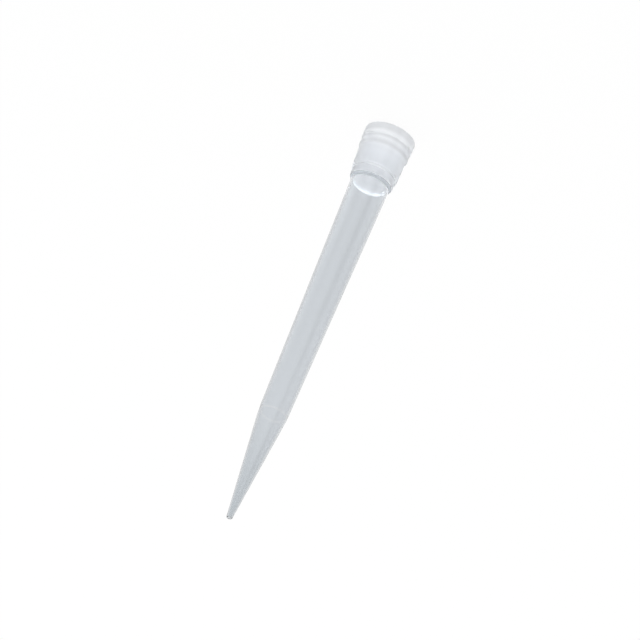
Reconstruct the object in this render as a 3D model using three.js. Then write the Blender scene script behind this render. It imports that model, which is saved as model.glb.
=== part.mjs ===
// Macro pipette tip of the 5 millilitre class: one injection moulding in natural polypropylene.
//
// A wide collar is pushed on the pipette's nozzle. Below it a long, slightly tapered tube holds the
// liquid, and a steeper cone narrows to the orifice. The wall is thin and the bore runs right through.
//
// Millimetres, +Z up. The tip stands on the rim of its collar with the mouth down and the orifice up,
// and the origin is on its axis in the plane of the rim.

import * as THREE from 'three';

// Driving dimensions.

const OVERALL_LENGTH = 150;

// The socket is the hollow of the collar. The nozzle enters at the mouth and stops at the ledge.
const SOCKET_DEPTH = 17.6;           // rim to ledge
const SOCKET_SEAT_DIAMETER = 12.9;   // at the ledge
const SOCKET_TAPER = 0.8;            // how far it widens from there to the lead-in, on the radius
const LEAD_IN_DEPTH = 2.3;
const LEAD_IN_FLARE = 0.4;           // how far it widens again to the mouth, on the radius

// Outside of the collar, from the rim towards the tube.
const RIM_BAND_HEIGHT = 3.65;
const RIM_WALL = 0.7;                // at the mouth
const GROOVE_HEIGHT = 2.05;
const GROOVE_DEPTH = 0.28;           // below the rim band
const GROOVE_SLOPE = 0.35;           // length of the slope at either end of the groove
const BEAD_HEIGHT = 1.0;
const BEAD_PROUD = 0.16;             // above the floor of the groove
const COLLAR_STEP = 0.36;            // from the bead down to the body of the collar
const COLLAR_STEP_SLOPE = 0.8;       // length of the slope between them
const COLLAR_BODY_DRAFT = 0.22;      // how far the body narrows towards the tube, on the radius
const UPPER_RING_HEIGHT = 0.9;
const UPPER_RING_STEP = 0.15;        // from the body of the collar down to the upper ring
const LOWER_RING_HEIGHT = 2.15;
const LOWER_RING_WALL = 0.75;        // over the seat of the socket
const RING_SLOPE = 0.15;             // length of the slopes above the two rings
const SHOULDER_START = 0.15;         // how far past the ledge the collar begins to narrow
const SHOULDER_LENGTH = 1.7;         // cone from the lower ring down to the tube

// Tube and cone.
const LEDGE_WIDTH = 0.4;             // stop for the nozzle, between the socket and the tube's bore
const BORE_FLARE = 0.28;             // how far the bore widens at the ledge, on the radius
const BORE_FLARE_LENGTH = 2.3;
const TUBE_WALL = 0.61;
const KNEE_DIAMETER = 9.77;          // outside, where the tube meets the cone
const KNEE_WALL = 0.6;
const CONE_LENGTH = 40.7;
const ORIFICE_DIAMETER = 1.1;
const ORIFICE_WALL = 0.42;

// Edges and blends, each limited by the stretches that it joins.
const RIM_ROUND = 0.25;
const MOUTH_ROUND = 0.1;
const GROOVE_ROUND = 0.25;           // both ends of the groove, and the bead
const COLLAR_STEP_ROUND = 0.5;
const RING_ROUND = 0.15;
const LEDGE_ROUND = 0.08;
const FLARE_ROUND = 0.6;
const TUBE_FILLET = 1.2;             // where the shoulder runs out on the tube
const KNEE_BLEND = 80;
const INNER_KNEE_BLEND = 8;
const ORIFICE_ROUND = 0.08;

// Fineness of the mesh.
const SEGMENTS = 72;                 // round the axis
const CHORD_TOLERANCE = 0.02;        // of an arc of the outline

// Radii and heights that follow from them.

const seatRadius = SOCKET_SEAT_DIAMETER / 2;
const entryRadius = seatRadius + SOCKET_TAPER;
const mouthRadius = entryRadius + LEAD_IN_FLARE;
const flareRadius = seatRadius - LEDGE_WIDTH;
const boreRadius = flareRadius - BORE_FLARE;

const rimRadius = mouthRadius + RIM_WALL;
const grooveRadius = rimRadius - GROOVE_DEPTH;
const beadRadius = grooveRadius + BEAD_PROUD;
const bodyTopRadius = beadRadius - COLLAR_STEP;
const bodyEndRadius = bodyTopRadius - COLLAR_BODY_DRAFT;
const upperRingRadius = bodyEndRadius - UPPER_RING_STEP;
const lowerRingRadius = seatRadius + LOWER_RING_WALL;
const tubeRadius = boreRadius + TUBE_WALL;
const kneeRadius = KNEE_DIAMETER / 2;
const innerKneeRadius = kneeRadius - KNEE_WALL;
const orificeRadius = ORIFICE_DIAMETER / 2;
const endRadius = orificeRadius + ORIFICE_WALL;

const grooveEnd = RIM_BAND_HEIGHT + GROOVE_HEIGHT;
const beadEnd = grooveEnd + BEAD_HEIGHT;
const collarEnd = SOCKET_DEPTH + SHOULDER_START;
const upperRingEnd = collarEnd - LOWER_RING_HEIGHT;
const bodyEnd = upperRingEnd - UPPER_RING_HEIGHT;
const kneeHeight = OVERALL_LENGTH - CONE_LENGTH;
const flareEnd = SOCKET_DEPTH + BORE_FLARE_LENGTH;

// One corner of the outline: its radius from the axis, its height, and how far it is rounded.
function corner(radius, height, round = 0) {
  return { at: new THREE.Vector2(radius, height), round };
}

// The moulding's section, up the outside from the rim to the orifice and down the bore again.
function tipOutline() {
  return [
    corner(rimRadius, 0, RIM_ROUND),
    corner(rimRadius, RIM_BAND_HEIGHT, GROOVE_ROUND),
    corner(grooveRadius, RIM_BAND_HEIGHT + GROOVE_SLOPE, GROOVE_ROUND),
    corner(grooveRadius, grooveEnd, GROOVE_ROUND),
    corner(beadRadius, grooveEnd + GROOVE_SLOPE, GROOVE_ROUND),
    corner(beadRadius, beadEnd, GROOVE_ROUND),
    corner(bodyTopRadius, beadEnd + COLLAR_STEP_SLOPE, COLLAR_STEP_ROUND),
    corner(bodyEndRadius, bodyEnd, RING_ROUND),
    corner(upperRingRadius, bodyEnd + RING_SLOPE, RING_ROUND),
    corner(upperRingRadius, upperRingEnd, RING_ROUND),
    corner(lowerRingRadius, upperRingEnd + RING_SLOPE, RING_ROUND),
    corner(lowerRingRadius, collarEnd, RING_ROUND),
    corner(tubeRadius, collarEnd + SHOULDER_LENGTH, TUBE_FILLET),
    corner(kneeRadius, kneeHeight, KNEE_BLEND),
    corner(endRadius, OVERALL_LENGTH, ORIFICE_ROUND),
    corner(orificeRadius, OVERALL_LENGTH, ORIFICE_ROUND),
    corner(innerKneeRadius, kneeHeight, INNER_KNEE_BLEND),
    corner(boreRadius, flareEnd, FLARE_ROUND),
    corner(flareRadius, SOCKET_DEPTH, LEDGE_ROUND),
    corner(seatRadius, SOCKET_DEPTH, LEDGE_ROUND),
    corner(entryRadius, LEAD_IN_DEPTH),
    corner(mouthRadius, 0, MOUTH_ROUND),
  ];
}

// How the outline turns at each corner, and how far its rounding would reach along both stretches.
function turnsOf(corners) {
  const count = corners.length;
  return corners.map(({ at, round }, index) => {
    const before = corners[(index + count - 1) % count].at;
    const after = corners[(index + 1) % count].at;
    const incoming = at.clone().sub(before).normalize();
    const outgoing = after.clone().sub(at).normalize();
    const turn = Math.atan2(incoming.cross(outgoing), incoming.dot(outgoing));
    const reach = round * Math.tan(Math.abs(turn) / 2);
    return { at, round, incoming, turn, reach };
  });
}

// The share of a rounding that fits when two neighbours have to share the stretch between them.
function shareOfStretch(one, other) {
  return Math.min(1, one.at.distanceTo(other.at) / (one.reach + other.reach));
}

// Points of one rounded corner: an arc that is tangent to the two stretches meeting there.
function arcAtCorner({ at, incoming, turn, reach, round }, share) {
  if (round === 0) {
    return [at];
  }
  const radius = round * share;
  const start = at.clone().addScaledVector(incoming, -reach * share);
  const left = new THREE.Vector2(-incoming.y, incoming.x);
  const centre = start.clone().addScaledVector(left, Math.sign(turn) * radius);
  const widestStep = 2 * Math.acos(1 - CHORD_TOLERANCE / radius);
  const steps = Math.max(1, Math.ceil(Math.abs(turn) / widestStep));
  const points = [];
  for (let step = 0; step <= steps; step += 1) {
    points.push(start.clone().rotateAround(centre, turn * step / steps));
  }
  return points;
}

// A closed ring of points, ending on the point that it starts from.
function roundedOutline(corners) {
  const turns = turnsOf(corners);
  const count = turns.length;
  const points = turns.flatMap((current, index) => {
    const before = turns[(index + count - 1) % count];
    const after = turns[(index + 1) % count];
    const share = Math.min(shareOfStretch(before, current), shareOfStretch(current, after));
    return arcAtCorner(current, share);
  });
  points.push(points[0].clone());
  return points;
}

// The lathe turns about Y, so the geometry is laid over to stand along Z.
function turnedSolid(corners) {
  const geometry = new THREE.LatheGeometry(roundedOutline(corners), SEGMENTS);
  geometry.rotateX(Math.PI / 2);
  return geometry;
}

// Natural polypropylene: a faint cool grey with a soft moulded gloss, clear enough to see the bore.
const polypropylene = new THREE.MeshStandardMaterial({
  color: 0xd3dade,
  roughness: 0.3,
  metalness: 0,
  transparent: true,
  opacity: 0.6,
});

const pipetteTip = new THREE.Mesh(turnedSolid(tipOutline()), polypropylene);
pipetteTip.name = 'pipette_tip';

const part = new THREE.Group();
part.add(pipetteTip);

export default part;
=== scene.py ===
import math

import bpy
from mathutils import Matrix, Vector


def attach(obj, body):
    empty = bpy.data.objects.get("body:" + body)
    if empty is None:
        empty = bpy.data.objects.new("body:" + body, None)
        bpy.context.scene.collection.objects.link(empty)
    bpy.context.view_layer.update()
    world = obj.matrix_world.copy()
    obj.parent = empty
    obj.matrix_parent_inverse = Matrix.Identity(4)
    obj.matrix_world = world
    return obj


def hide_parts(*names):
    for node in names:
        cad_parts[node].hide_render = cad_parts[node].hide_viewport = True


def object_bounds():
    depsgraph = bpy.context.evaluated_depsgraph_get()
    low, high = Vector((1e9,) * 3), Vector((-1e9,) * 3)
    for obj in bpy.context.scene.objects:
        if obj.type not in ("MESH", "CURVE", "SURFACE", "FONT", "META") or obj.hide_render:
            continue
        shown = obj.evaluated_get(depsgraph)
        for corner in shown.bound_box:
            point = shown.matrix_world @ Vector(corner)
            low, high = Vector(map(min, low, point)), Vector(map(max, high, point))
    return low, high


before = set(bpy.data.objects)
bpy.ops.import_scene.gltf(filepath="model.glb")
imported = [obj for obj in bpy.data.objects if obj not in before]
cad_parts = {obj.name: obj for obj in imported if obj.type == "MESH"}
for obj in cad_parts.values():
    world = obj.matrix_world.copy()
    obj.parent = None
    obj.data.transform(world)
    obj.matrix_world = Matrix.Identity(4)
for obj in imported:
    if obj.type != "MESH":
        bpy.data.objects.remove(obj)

cad_low, cad_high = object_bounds()
MM = 0.001
scene = bpy.context.scene


# The moulding: the whole tip is one shot of natural polypropylene, collar, tube and cone together.
# Core and cavity of its mould are turned parts, so its outline is spun about the axis, in finer
# steps than the frame's and with true rounds. Nothing is fixed to it.

TURN_STEPS = 192  # round the axis
LONGEST_STRETCH = 2.0  # millimetres, along the outline
ROUND_TOLERANCE = 0.0005  # millimetres, of a rounding
FLAT_FACE_WEIGHT = 80  # how far the flat stretches lead in the shading
CONE_LENGTH = 40.7
RIM_RADIUS = cad_high.x / MM
END_HEIGHT = cad_high.z / MM
KNEE_HEIGHT = END_HEIGHT - CONE_LENGTH

# Radius, height and rounding of each corner in millimetres, up the outside and down the bore again.
OUTLINE = (
    (RIM_RADIUS, 0.0, 0.25),
    (RIM_RADIUS, 3.65, 0.25),
    (8.07, 4.0, 0.25),  # groove
    (8.07, 5.7, 0.25),
    (8.23, 6.05, 0.25),  # bead
    (8.23, 6.7, 0.25),
    (7.87, 7.5, 0.5),  # body of the collar
    (7.65, 14.7, 0.15),
    (7.5, 14.85, 0.15),  # upper ring
    (7.5, 15.6, 0.15),
    (7.2, 15.75, 0.15),  # lower ring
    (7.2, 17.75, 0.15),
    (6.38, 19.45, 1.2),  # foot of the shoulder, where the tube begins
    (4.885, KNEE_HEIGHT, 80.0),
    (0.97, END_HEIGHT, 0.08),  # orifice
    (0.55, END_HEIGHT, 0.08),
    (4.285, KNEE_HEIGHT, 8.0),
    (5.77, 19.9, 0.6),
    (6.05, 17.6, 0.08),  # ledge that stops the nozzle
    (6.45, 17.6, 0.08),
    (7.25, 2.3, 0.0),
    (7.65, 0.0, 0.1),  # mouth
)


def rounded(corners):
    """The points of a closed outline, with an arc in place of each corner that has a rounding."""
    points = []
    for index, (radius, height, rounding) in enumerate(corners):
        corner = Vector((radius, height))
        incoming = (corner - Vector(corners[index - 1][:2])).normalized()
        outgoing = (Vector(corners[(index + 1) % len(corners)][:2]) - corner).normalized()
        if rounding == 0:
            points.append(corner)
            continue
        turn = math.atan2(incoming.cross(outgoing), incoming.dot(outgoing))
        start = corner - incoming * rounding * math.tan(abs(turn) / 2)
        inward = Vector((-incoming.y, incoming.x)) * math.copysign(rounding, turn)
        widest_step = 2 * math.acos(1 - ROUND_TOLERANCE / rounding)
        steps = math.ceil(abs(turn) / widest_step)
        for step in range(steps + 1):
            spoke = Matrix.Rotation(turn * step / steps, 2) @ -inward
            points.append(start + inward + spoke)
    return points


def shorter_stretches(outline):
    """The same outline with points added, so that no stretch is longer than the longest allowed."""
    points = []
    for one, other in zip(outline, outline[1:] + outline[:1]):
        pieces = math.ceil((other - one).length / LONGEST_STRETCH)
        points += [one.lerp(other, piece / pieces) for piece in range(pieces)]
    return points


def spin(name, outline):
    """A mesh of the outline turned about the Z axis, its faces looking outwards."""
    rows = len(outline)
    vertices = []
    faces = []
    for turn in range(TURN_STEPS):
        angle = math.tau * turn / TURN_STEPS
        following = (turn + 1) % TURN_STEPS
        for row, (radius, height) in enumerate(outline):
            above = (row + 1) % rows
            reach = radius * MM
            vertices.append((reach * math.cos(angle), reach * math.sin(angle), height * MM))
            faces.append((turn * rows + row, following * rows + row,
                          following * rows + above, turn * rows + above))
    mesh = bpy.data.meshes.new(name)
    mesh.from_pydata(vertices, [], faces)
    mesh.shade_smooth()
    piece = bpy.data.objects.new(name, mesh)
    scene.collection.objects.link(piece)
    return piece


moulding = spin("moulding", shorter_stretches(rounded(OUTLINE)))
flat_faces_lead = moulding.modifiers.new("flat_faces_lead", "WEIGHTED_NORMAL")
flat_faces_lead.weight = FLAT_FACE_WEIGHT

# Natural polypropylene, unpigmented, moulded in polished steel. It is clear and faintly grey-blue
# where it is thin, with a soft gloss, and milky in the thick heart of the shoulder, which glows
# white where the light comes through it and looks dark where it stands in front of the light.

REFRACTION = 1.49
COLLAR_TINT = "#fafcff"
TUBE_TINT = "#f2f5f8"
CONE_TINT = "#ebeff2"
MILK_TINT = "#f6f9fc"
COLLAR_ROUGHNESS = 0.30
TUBE_ROUGHNESS = 0.12
COLLAR_ENDS = 17.7 * MM
TUBE_STARTS = 20.0 * MM

# The milky heart of the shoulder is a ring: its distance from the axis and its height.
SHOULDER_HEART = (6.35 * MM, 0.0, 18.7 * MM)
MILKY_WITHIN = 0.45 * MM
CLEAR_BEYOND = 0.75 * MM
SHOULDER_HAZE = 0.95
COLLAR_HAZE = 0.12
TUBE_HAZE = 0.0

# Faint flow lines run the way the melt did. Real ones are under a millimetre wide, and these are
# drawn wider, to show.
FLOW_LINE_WIDTH = 3.0 * MM
FLOW_LINE_LENGTH = 120 * MM
FLOW_LINE_DEPTH = 0.04
FLOW_NOISE_LOW = 0.35
FLOW_NOISE_HIGH = 0.65

# Two parts of the core meet at the knee and leave a witness line. The real one is about 0.1 mm
# wide, and this one is drawn wider, to show.
WITNESS_HALF_WIDTH = 0.3 * MM
WITNESS_TINT = "#fafbfc"

# Lengthwise streaks, partly where the wall varies a little and the mould was drawn off, and partly
# painted shade for the darker streaks that the lighting leaves along the tube: the angle about the
# axis in degrees, and the share of the light that the wall lets through there.
DRAW_LINES_AND_PAINTED_SHADE = (
    (-180, 1.00), (-150, 0.96), (-138, 0.91), (-129, 0.97), (-120, 1.00), (-107, 0.94),
    (-95, 1.00), (-37, 1.00), (-30, 0.98), (-20, 0.91), (0, 0.98), (35, 1.00),
    (62, 0.97), (85, 1.00), (118, 0.97), (150, 1.00), (180, 1.00),
)

# Painted shade: the collar's tint is darkened in bands up the ribs and at the shoulder. These bands
# stand in for the dim bands between the ribs' glints: the height in millimetres, and the share of
# the light that the wall lets through there.
COLLAR_PAINTED_SHADE_BANDS = (
    (0.0, 0.76), (1.9, 0.78), (3.1, 1.00),  # rim band
    (4.4, 0.76), (5.5, 1.00),  # groove
    (6.9, 0.75), (8.0, 1.00),  # bead, and the step below it
    (9.2, 0.93), (10.6, 0.97), (12.8, 0.95), (13.9, 0.96),  # body
    (14.7, 1.00), (15.4, 0.92), (16.1, 1.00), (17.0, 0.95), (18.0, 1.00),  # the two finer rings
    (18.7, 0.78), (20.0, 1.00),  # shoulder
)
PAINTED_SHADE_BANDS_END = COLLAR_PAINTED_SHADE_BANDS[-1][0]


def linear(hex_colour):
    """An sRGB hex colour as the linear values that a shader takes."""
    channels = [int(hex_colour[start:start + 2], 16) / 255 for start in (1, 3, 5)]
    return [c / 12.92 if c <= 0.04045 else ((c + 0.055) / 1.055) ** 2.4 for c in channels] + [1.0]


def add_node(tree, kind, settings=None, inputs=None, links=None):
    """Adds a node, sets its properties and sockets, and links other nodes' outputs to it."""
    node = tree.nodes.new(kind)
    for name, value in (settings or {}).items():
        setattr(node, name, value)
    for socket, value in (inputs or {}).items():
        node.inputs[socket].default_value = value
    for socket, output in (links or {}).items():
        tree.links.new(output, node.inputs[socket])
    return node


polypropylene = bpy.data.materials.new("natural_polypropylene")
polypropylene.use_nodes = True
tree = polypropylene.node_tree
tree.nodes.clear()
place = add_node(tree, "ShaderNodeTexCoord")
along = add_node(tree, "ShaderNodeSeparateXYZ", links={0: place.outputs["Object"]})
tube_share = add_node(
    tree, "ShaderNodeMapRange", {"interpolation_type": "SMOOTHSTEP"},
    {"From Min": COLLAR_ENDS, "From Max": TUBE_STARTS},
    {"Value": along.outputs["Z"]})
cone_share = add_node(
    tree, "ShaderNodeMapRange", None,
    {"From Min": KNEE_HEIGHT * MM, "From Max": END_HEIGHT * MM},
    {"Value": along.outputs["Z"]})
long_tint = add_node(
    tree, "ShaderNodeMix", {"data_type": "RGBA"},
    {"A": linear(TUBE_TINT), "B": linear(CONE_TINT)},
    {"Factor": cone_share.outputs["Result"]})
at_knee = add_node(
    tree, "ShaderNodeMath", {"operation": "COMPARE"}, {1: KNEE_HEIGHT * MM, 2: WITNESS_HALF_WIDTH},
    {0: along.outputs["Z"]})
marked_tint = add_node(
    tree, "ShaderNodeMix", {"data_type": "RGBA"}, {"B": linear(WITNESS_TINT)},
    {"Factor": at_knee.outputs[0], "A": long_tint.outputs[2]})
tint = add_node(
    tree, "ShaderNodeMix", {"data_type": "RGBA"},
    {"A": linear(COLLAR_TINT)},
    {"Factor": tube_share.outputs["Result"], "B": marked_tint.outputs[2]})
gloss = add_node(
    tree, "ShaderNodeMapRange", None,
    {"To Min": COLLAR_ROUGHNESS, "To Max": TUBE_ROUGHNESS},
    {"Value": tube_share.outputs["Result"]})
drawn_out = add_node(
    tree, "ShaderNodeMapping", None,
    {"Scale": (1 / FLOW_LINE_WIDTH, 1 / FLOW_LINE_WIDTH, 1 / FLOW_LINE_LENGTH)},
    {"Vector": place.outputs["Object"]})
flow = add_node(
    tree, "ShaderNodeTexNoise", None, {"Scale": 1.0, "Detail": 2.0},
    {"Vector": drawn_out.outputs["Vector"]})
flow_lines = add_node(
    tree, "ShaderNodeMapRange", None,
    {"From Min": FLOW_NOISE_LOW, "From Max": FLOW_NOISE_HIGH, "To Min": 1.0 - FLOW_LINE_DEPTH},
    {"Value": flow.outputs["Fac"]})
# Partly real draw lines and partly painted shade: the tint is darkened in lengthwise streaks by
# angle about the axis.
turned = add_node(
    tree, "ShaderNodeTexGradient", {"gradient_type": "RADIAL"},
    links={"Vector": place.outputs["Object"]})
draw_lines_and_shade = add_node(tree, "ShaderNodeValToRGB", links={"Fac": turned.outputs["Fac"]})
stops = draw_lines_and_shade.color_ramp.elements
stops.remove(stops[1])
for angle, clearness in DRAW_LINES_AND_PAINTED_SHADE:
    stop = stops.new((angle + 180) / 360) if angle > -180 else stops[0]
    stop.color = (clearness, clearness, clearness, 1)
lined_and_shaded_tint = add_node(
    tree, "ShaderNodeVectorMath", {"operation": "MULTIPLY"}, None,
    {0: tint.outputs[2], 1: draw_lines_and_shade.outputs["Color"]})
# Painted shade: the collar's tint is darkened in bands by height, for the dim bands between the
# ribs' glints.
up_the_painted_shade_bands = add_node(
    tree, "ShaderNodeMapRange", None, {"From Max": PAINTED_SHADE_BANDS_END * MM},
    {"Value": along.outputs["Z"]})
painted_ring_shade = add_node(tree, "ShaderNodeValToRGB", links={"Fac": up_the_painted_shade_bands.outputs["Result"]})
painted_ring_shade.color_ramp.interpolation = "EASE"
stops = painted_ring_shade.color_ramp.elements
stops.remove(stops[1])
for height, clearness in COLLAR_PAINTED_SHADE_BANDS:
    stop = stops.new(height / PAINTED_SHADE_BANDS_END) if height else stops[0]
    stop.color = (clearness, clearness, clearness, 1)
shade_banded_tint = add_node(
    tree, "ShaderNodeVectorMath", {"operation": "MULTIPLY"}, None,
    {0: lined_and_shaded_tint.outputs["Vector"], 1: painted_ring_shade.outputs["Color"]})
streaked_tint = add_node(
    tree, "ShaderNodeVectorMath", {"operation": "SCALE"}, None,
    {"Vector": shade_banded_tint.outputs["Vector"], "Scale": flow_lines.outputs["Result"]})
clear = add_node(
    tree, "ShaderNodeBsdfPrincipled", None,
    {"IOR": REFRACTION, "Transmission Weight": 1.0},
    {"Base Color": streaked_tint.outputs["Vector"], "Roughness": gloss.outputs["Result"]})
flattened = add_node(
    tree, "ShaderNodeVectorMath", {"operation": "MULTIPLY"}, {1: (1, 1, 0)},
    {0: place.outputs["Object"]})
from_axis = add_node(
    tree, "ShaderNodeVectorMath", {"operation": "LENGTH"}, None, {0: flattened.outputs["Vector"]})
in_section = add_node(
    tree, "ShaderNodeCombineXYZ",
    links={"X": from_axis.outputs["Value"], "Z": along.outputs["Z"]})
from_heart = add_node(
    tree, "ShaderNodeVectorMath", {"operation": "DISTANCE"}, {1: SHOULDER_HEART},
    {0: in_section.outputs["Vector"]})
thin_haze = add_node(
    tree, "ShaderNodeMapRange", None, {"To Min": COLLAR_HAZE, "To Max": TUBE_HAZE},
    {"Value": tube_share.outputs["Result"]})
haze = add_node(
    tree, "ShaderNodeMapRange", {"interpolation_type": "SMOOTHSTEP"},
    {"From Min": MILKY_WITHIN, "From Max": CLEAR_BEYOND, "To Min": SHOULDER_HAZE},
    {"Value": from_heart.outputs["Value"], "To Max": thin_haze.outputs["Result"]})
milk = add_node(tree, "ShaderNodeBsdfTranslucent", None, {"Color": linear(MILK_TINT)})
plastic = add_node(
    tree, "ShaderNodeMixShader", None, None,
    {0: haze.outputs["Result"], 1: clear.outputs["BSDF"], 2: milk.outputs["BSDF"]})
add_node(tree, "ShaderNodeOutputMaterial", links={"Surface": plastic.outputs["Shader"]})
moulding.data.materials.append(polypropylene)

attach(moulding, "root")
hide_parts("pipette_tip")


# The floor: a plain sheet of matt white paper that fills the view. Seen directly it is all but pure
# white and keeps a trace of shadow. Through the plastic its glow shows painted light: grey further
# off, with a painted pool of light round the collar, painted shade under the mouth, and a painted
# white card to one side where no card stands.

FLOOR_REACH = 4.0
FLOOR_COLOUR = "#e6e6e6"
WHITE_SHARE_DIRECT = 0.97
WHITE_SHARE_THROUGH = 0.95
PAINTED_FAR_LIGHT = 0.79
LIGHT_MIRRORED = 0.9

# The painted pool of light is an oval on the tip's axis, with painted shade under the mouth of the
# collar.
PAINTED_POOL_LIGHT = 1.42
PAINTED_SHADE_UNDER_MOUTH = 1.16
MOUTH_INSIDE = 7 * MM
MOUTH_OUTSIDE = 10 * MM
PAINTED_POOL_FADES = 12 * MM
PAINTED_POOL_ENDS = 33 * MM
PAINTED_POOL_WIDTH_TO_DEPTH = 3.5

# The painted card is a brighter sector of the floor's glow, with no card there: the direction to
# its middle from the tip, the cosines of the angles between which it fades, and the distances
# between which it ends.
PAINTED_CARD_BEARING = (0.96, 0.28, 0.0)
PAINTED_CARD_EDGE = 0.94
PAINTED_CARD_HEART = 0.99
PAINTED_CARD_LIGHT = 1.4
PAINTED_CARD_FADES = 0.15
PAINTED_CARD_ENDS = 0.24

paper = bpy.data.materials.new("white_paper")
paper.use_nodes = True
tree = paper.node_tree
tree.nodes.clear()
path = add_node(tree, "ShaderNodeLightPath")
geometry = add_node(tree, "ShaderNodeNewGeometry")
# Painted light: the glow seen in the plastic is brighter in a pool round the collar and in a
# card-shaped sector, darker under the mouth and further off.
distance = add_node(
    tree, "ShaderNodeVectorMath", {"operation": "LENGTH"}, None,
    {0: geometry.outputs["Position"]})
bearing = add_node(
    tree, "ShaderNodeVectorMath", {"operation": "NORMALIZE"}, None,
    {0: geometry.outputs["Position"]})
towards_painted_card = add_node(
    tree, "ShaderNodeVectorMath", {"operation": "DOT_PRODUCT"}, {1: PAINTED_CARD_BEARING},
    {0: bearing.outputs["Vector"]})
painted_card = add_node(
    tree, "ShaderNodeMapRange", {"interpolation_type": "SMOOTHSTEP"},
    {"From Min": PAINTED_CARD_FADES, "From Max": PAINTED_CARD_ENDS, "To Min": PAINTED_CARD_LIGHT, "To Max": PAINTED_FAR_LIGHT},
    {"Value": distance.outputs["Value"]})
painted_far_floor = add_node(
    tree, "ShaderNodeMapRange", {"interpolation_type": "SMOOTHSTEP"},
    {"From Min": PAINTED_CARD_EDGE, "From Max": PAINTED_CARD_HEART, "To Min": PAINTED_FAR_LIGHT},
    {"Value": towards_painted_card.outputs["Value"], "To Max": painted_card.outputs["Result"]})
squeezed = add_node(
    tree, "ShaderNodeVectorMath", {"operation": "MULTIPLY"}, {1: (1 / PAINTED_POOL_WIDTH_TO_DEPTH, 1, 1)},
    {0: geometry.outputs["Position"]})
painted_pool_distance = add_node(
    tree, "ShaderNodeVectorMath", {"operation": "LENGTH"}, None,
    {0: squeezed.outputs["Vector"]})
painted_pool = add_node(
    tree, "ShaderNodeMapRange", {"interpolation_type": "SMOOTHSTEP"},
    {"From Min": MOUTH_INSIDE, "From Max": MOUTH_OUTSIDE,
     "To Min": PAINTED_SHADE_UNDER_MOUTH, "To Max": PAINTED_POOL_LIGHT},
    {"Value": distance.outputs["Value"]})
painted_floor_glow = add_node(
    tree, "ShaderNodeMapRange", {"interpolation_type": "SMOOTHSTEP"},
    {"From Min": PAINTED_POOL_FADES, "From Max": PAINTED_POOL_ENDS},
    {"Value": painted_pool_distance.outputs["Value"], "To Min": painted_pool.outputs["Result"],
     "To Max": painted_far_floor.outputs["Result"]})
only_mirrored = add_node(
    tree, "ShaderNodeMath", {"operation": "SUBTRACT"}, None,
    {0: path.outputs["Is Glossy Ray"], 1: path.outputs["Is Transmission Ray"]})
calm_in_gloss = add_node(
    tree, "ShaderNodeMix", {"data_type": "FLOAT"}, {"B": LIGHT_MIRRORED},
    {"Factor": only_mirrored.outputs[0], "A": painted_floor_glow.outputs["Result"]})
strength = add_node(
    tree, "ShaderNodeMix", {"data_type": "FLOAT"}, {"B": 1.0},
    {"Factor": path.outputs["Is Camera Ray"], "A": calm_in_gloss.outputs["Result"]})
direct_share = add_node(
    tree, "ShaderNodeMath", {"operation": "MULTIPLY"}, {1: WHITE_SHARE_DIRECT},
    {0: path.outputs["Is Camera Ray"]})
seen_in_plastic = add_node(
    tree, "ShaderNodeMath", {"operation": "MAXIMUM"}, None,
    {0: path.outputs["Is Glossy Ray"], 1: path.outputs["Is Transmission Ray"]})
through_share = add_node(
    tree, "ShaderNodeMath", {"operation": "MULTIPLY"}, {1: WHITE_SHARE_THROUGH},
    {0: seen_in_plastic.outputs[0]})
share = add_node(
    tree, "ShaderNodeMath", {"operation": "MAXIMUM"}, None,
    {0: direct_share.outputs[0], 1: through_share.outputs[0]})
matt = add_node(tree, "ShaderNodeBsdfDiffuse", None, {"Color": linear(FLOOR_COLOUR)})
white = add_node(
    tree, "ShaderNodeEmission", None, {"Color": (1.0, 1.0, 1.0, 1.0)},
    {"Strength": strength.outputs[0]})
look = add_node(
    tree, "ShaderNodeMixShader", None, None,
    {0: share.outputs[0], 1: matt.outputs[0], 2: white.outputs[0]})
add_node(tree, "ShaderNodeOutputMaterial", links={"Surface": look.outputs[0]})

floor_mesh = bpy.data.meshes.new("floor")
floor_mesh.from_pydata(
    [(x * FLOOR_REACH, y * FLOOR_REACH, 0) for x, y in ((-1, -1), (1, -1), (1, 1), (-1, 1))],
    [], [(0, 1, 2, 3)])
floor_mesh.materials.append(paper)
floor = bpy.data.objects.new("floor", floor_mesh)
scene.collection.objects.link(floor)


# The studio: a dim room with four softboxes, the strongest behind the tip, so that the light comes
# through its shoulder. Seen directly the room is white. In the plastic it is dark at the front and
# turns to a bright backdrop behind: the limits are how far a direction points to the back.

ROOM_LIGHT = 0.2
ROOM_FRONT = 0.2
ROOM_BACK = 2.0
FRONT_ENDS = -0.6
BACK_STARTS = 0.5
COLLAR = Vector((0, 0, 0.02))

world = bpy.data.worlds.new("studio")
scene.world = world
world.use_nodes = True
tree = world.node_tree
tree.nodes.clear()
path = add_node(tree, "ShaderNodeLightPath")
direction = add_node(tree, "ShaderNodeTexCoord")
depth = add_node(tree, "ShaderNodeSeparateXYZ", links={0: direction.outputs["Generated"]})
backdrop = add_node(
    tree, "ShaderNodeMapRange", None,
    {"From Min": FRONT_ENDS, "From Max": BACK_STARTS, "To Min": ROOM_FRONT, "To Max": ROOM_BACK},
    {"Value": depth.outputs["Y"]})
seen_in_plastic = add_node(
    tree, "ShaderNodeMath", {"operation": "MAXIMUM"}, None,
    {0: path.outputs["Is Glossy Ray"], 1: path.outputs["Is Transmission Ray"]})
shown = add_node(
    tree, "ShaderNodeMix", {"data_type": "FLOAT"}, {"A": ROOM_LIGHT},
    {"Factor": seen_in_plastic.outputs[0], "B": backdrop.outputs["Result"]})
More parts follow.
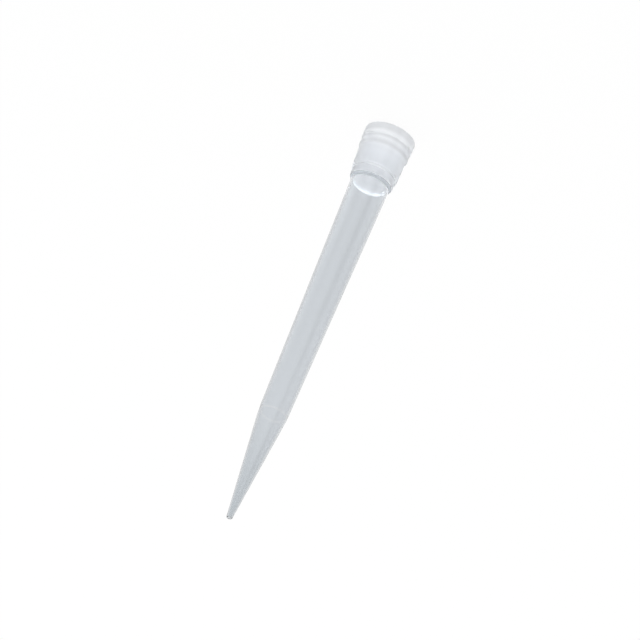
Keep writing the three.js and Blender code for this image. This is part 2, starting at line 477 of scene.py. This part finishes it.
level = add_node(
    tree, "ShaderNodeMath", {"operation": "MAXIMUM"}, None,
    {0: shown.outputs[0], 1: path.outputs["Is Camera Ray"]})
room = add_node(
    tree, "ShaderNodeBackground", None, {"Color": (1.0, 1.0, 1.0, 1.0)},
    {"Strength": level.outputs[0]})
add_node(tree, "ShaderNodeOutputWorld", links={"Surface": room.outputs[0]})


def softbox(name, place, size, power):
    """A square lamp that faces the collar, its size in metres and its power in watts.

    It lights the tip and the floor, and shows neither directly nor in the plastic.
    """
    lamp = bpy.data.lights.new(name, "AREA")
    lamp.size = size
    lamp.energy = power
    stand = bpy.data.objects.new(name, lamp)
    stand.location = place
    stand.rotation_euler = (COLLAR - Vector(place)).to_track_quat("-Z", "Y").to_euler()
    stand.visible_camera = False
    stand.visible_glossy = False
    stand.visible_transmission = False
    scene.collection.objects.link(stand)


softbox("key", (-0.15, -0.35, 0.50), 0.4, 1.0)
softbox("back", (0.0, 0.64, 0.77), 1.0, 10.0)
softbox("left_side", (-0.9, 0.25, 0.45), 1.0, 4.0)
softbox("right_side", (0.9, 0.25, 0.45), 1.0, 3.0)


# The camera: a long lens, looking down on the tip's end, turned so that the tip lies across the
# view with its collar up. Light is followed far, because it crosses the walls many times.

ELEVATION = math.radians(28.5)
ROLL = math.radians(-157.08)
FIELD = 203.84 * MM
AIM = Vector((-2.11 * MM, 0, 0.4745 * cad_high.z))
AWAY = 1.0
SIGHT = 50
BOUNCES = 48

towards_camera = Vector((0, -math.cos(ELEVATION), math.sin(ELEVATION)))
upright = (-towards_camera).to_track_quat("-Z", "Y")
lens = bpy.data.cameras.new("camera")
lens.type = "ORTHO"
lens.ortho_scale = FIELD
lens.clip_end = SIGHT
camera = bpy.data.objects.new("camera", lens)
camera.location = AIM + towards_camera * AWAY
camera.rotation_mode = "QUATERNION"
camera.rotation_quaternion = upright @ Matrix.Rotation(ROLL, 3, "Z").to_quaternion()
scene.collection.objects.link(camera)
scene.camera = camera
scene.view_settings.view_transform = "Standard"
scene.cycles.max_bounces = BOUNCES
scene.cycles.transmission_bounces = BOUNCES
scene.cycles.glossy_bounces = BOUNCES
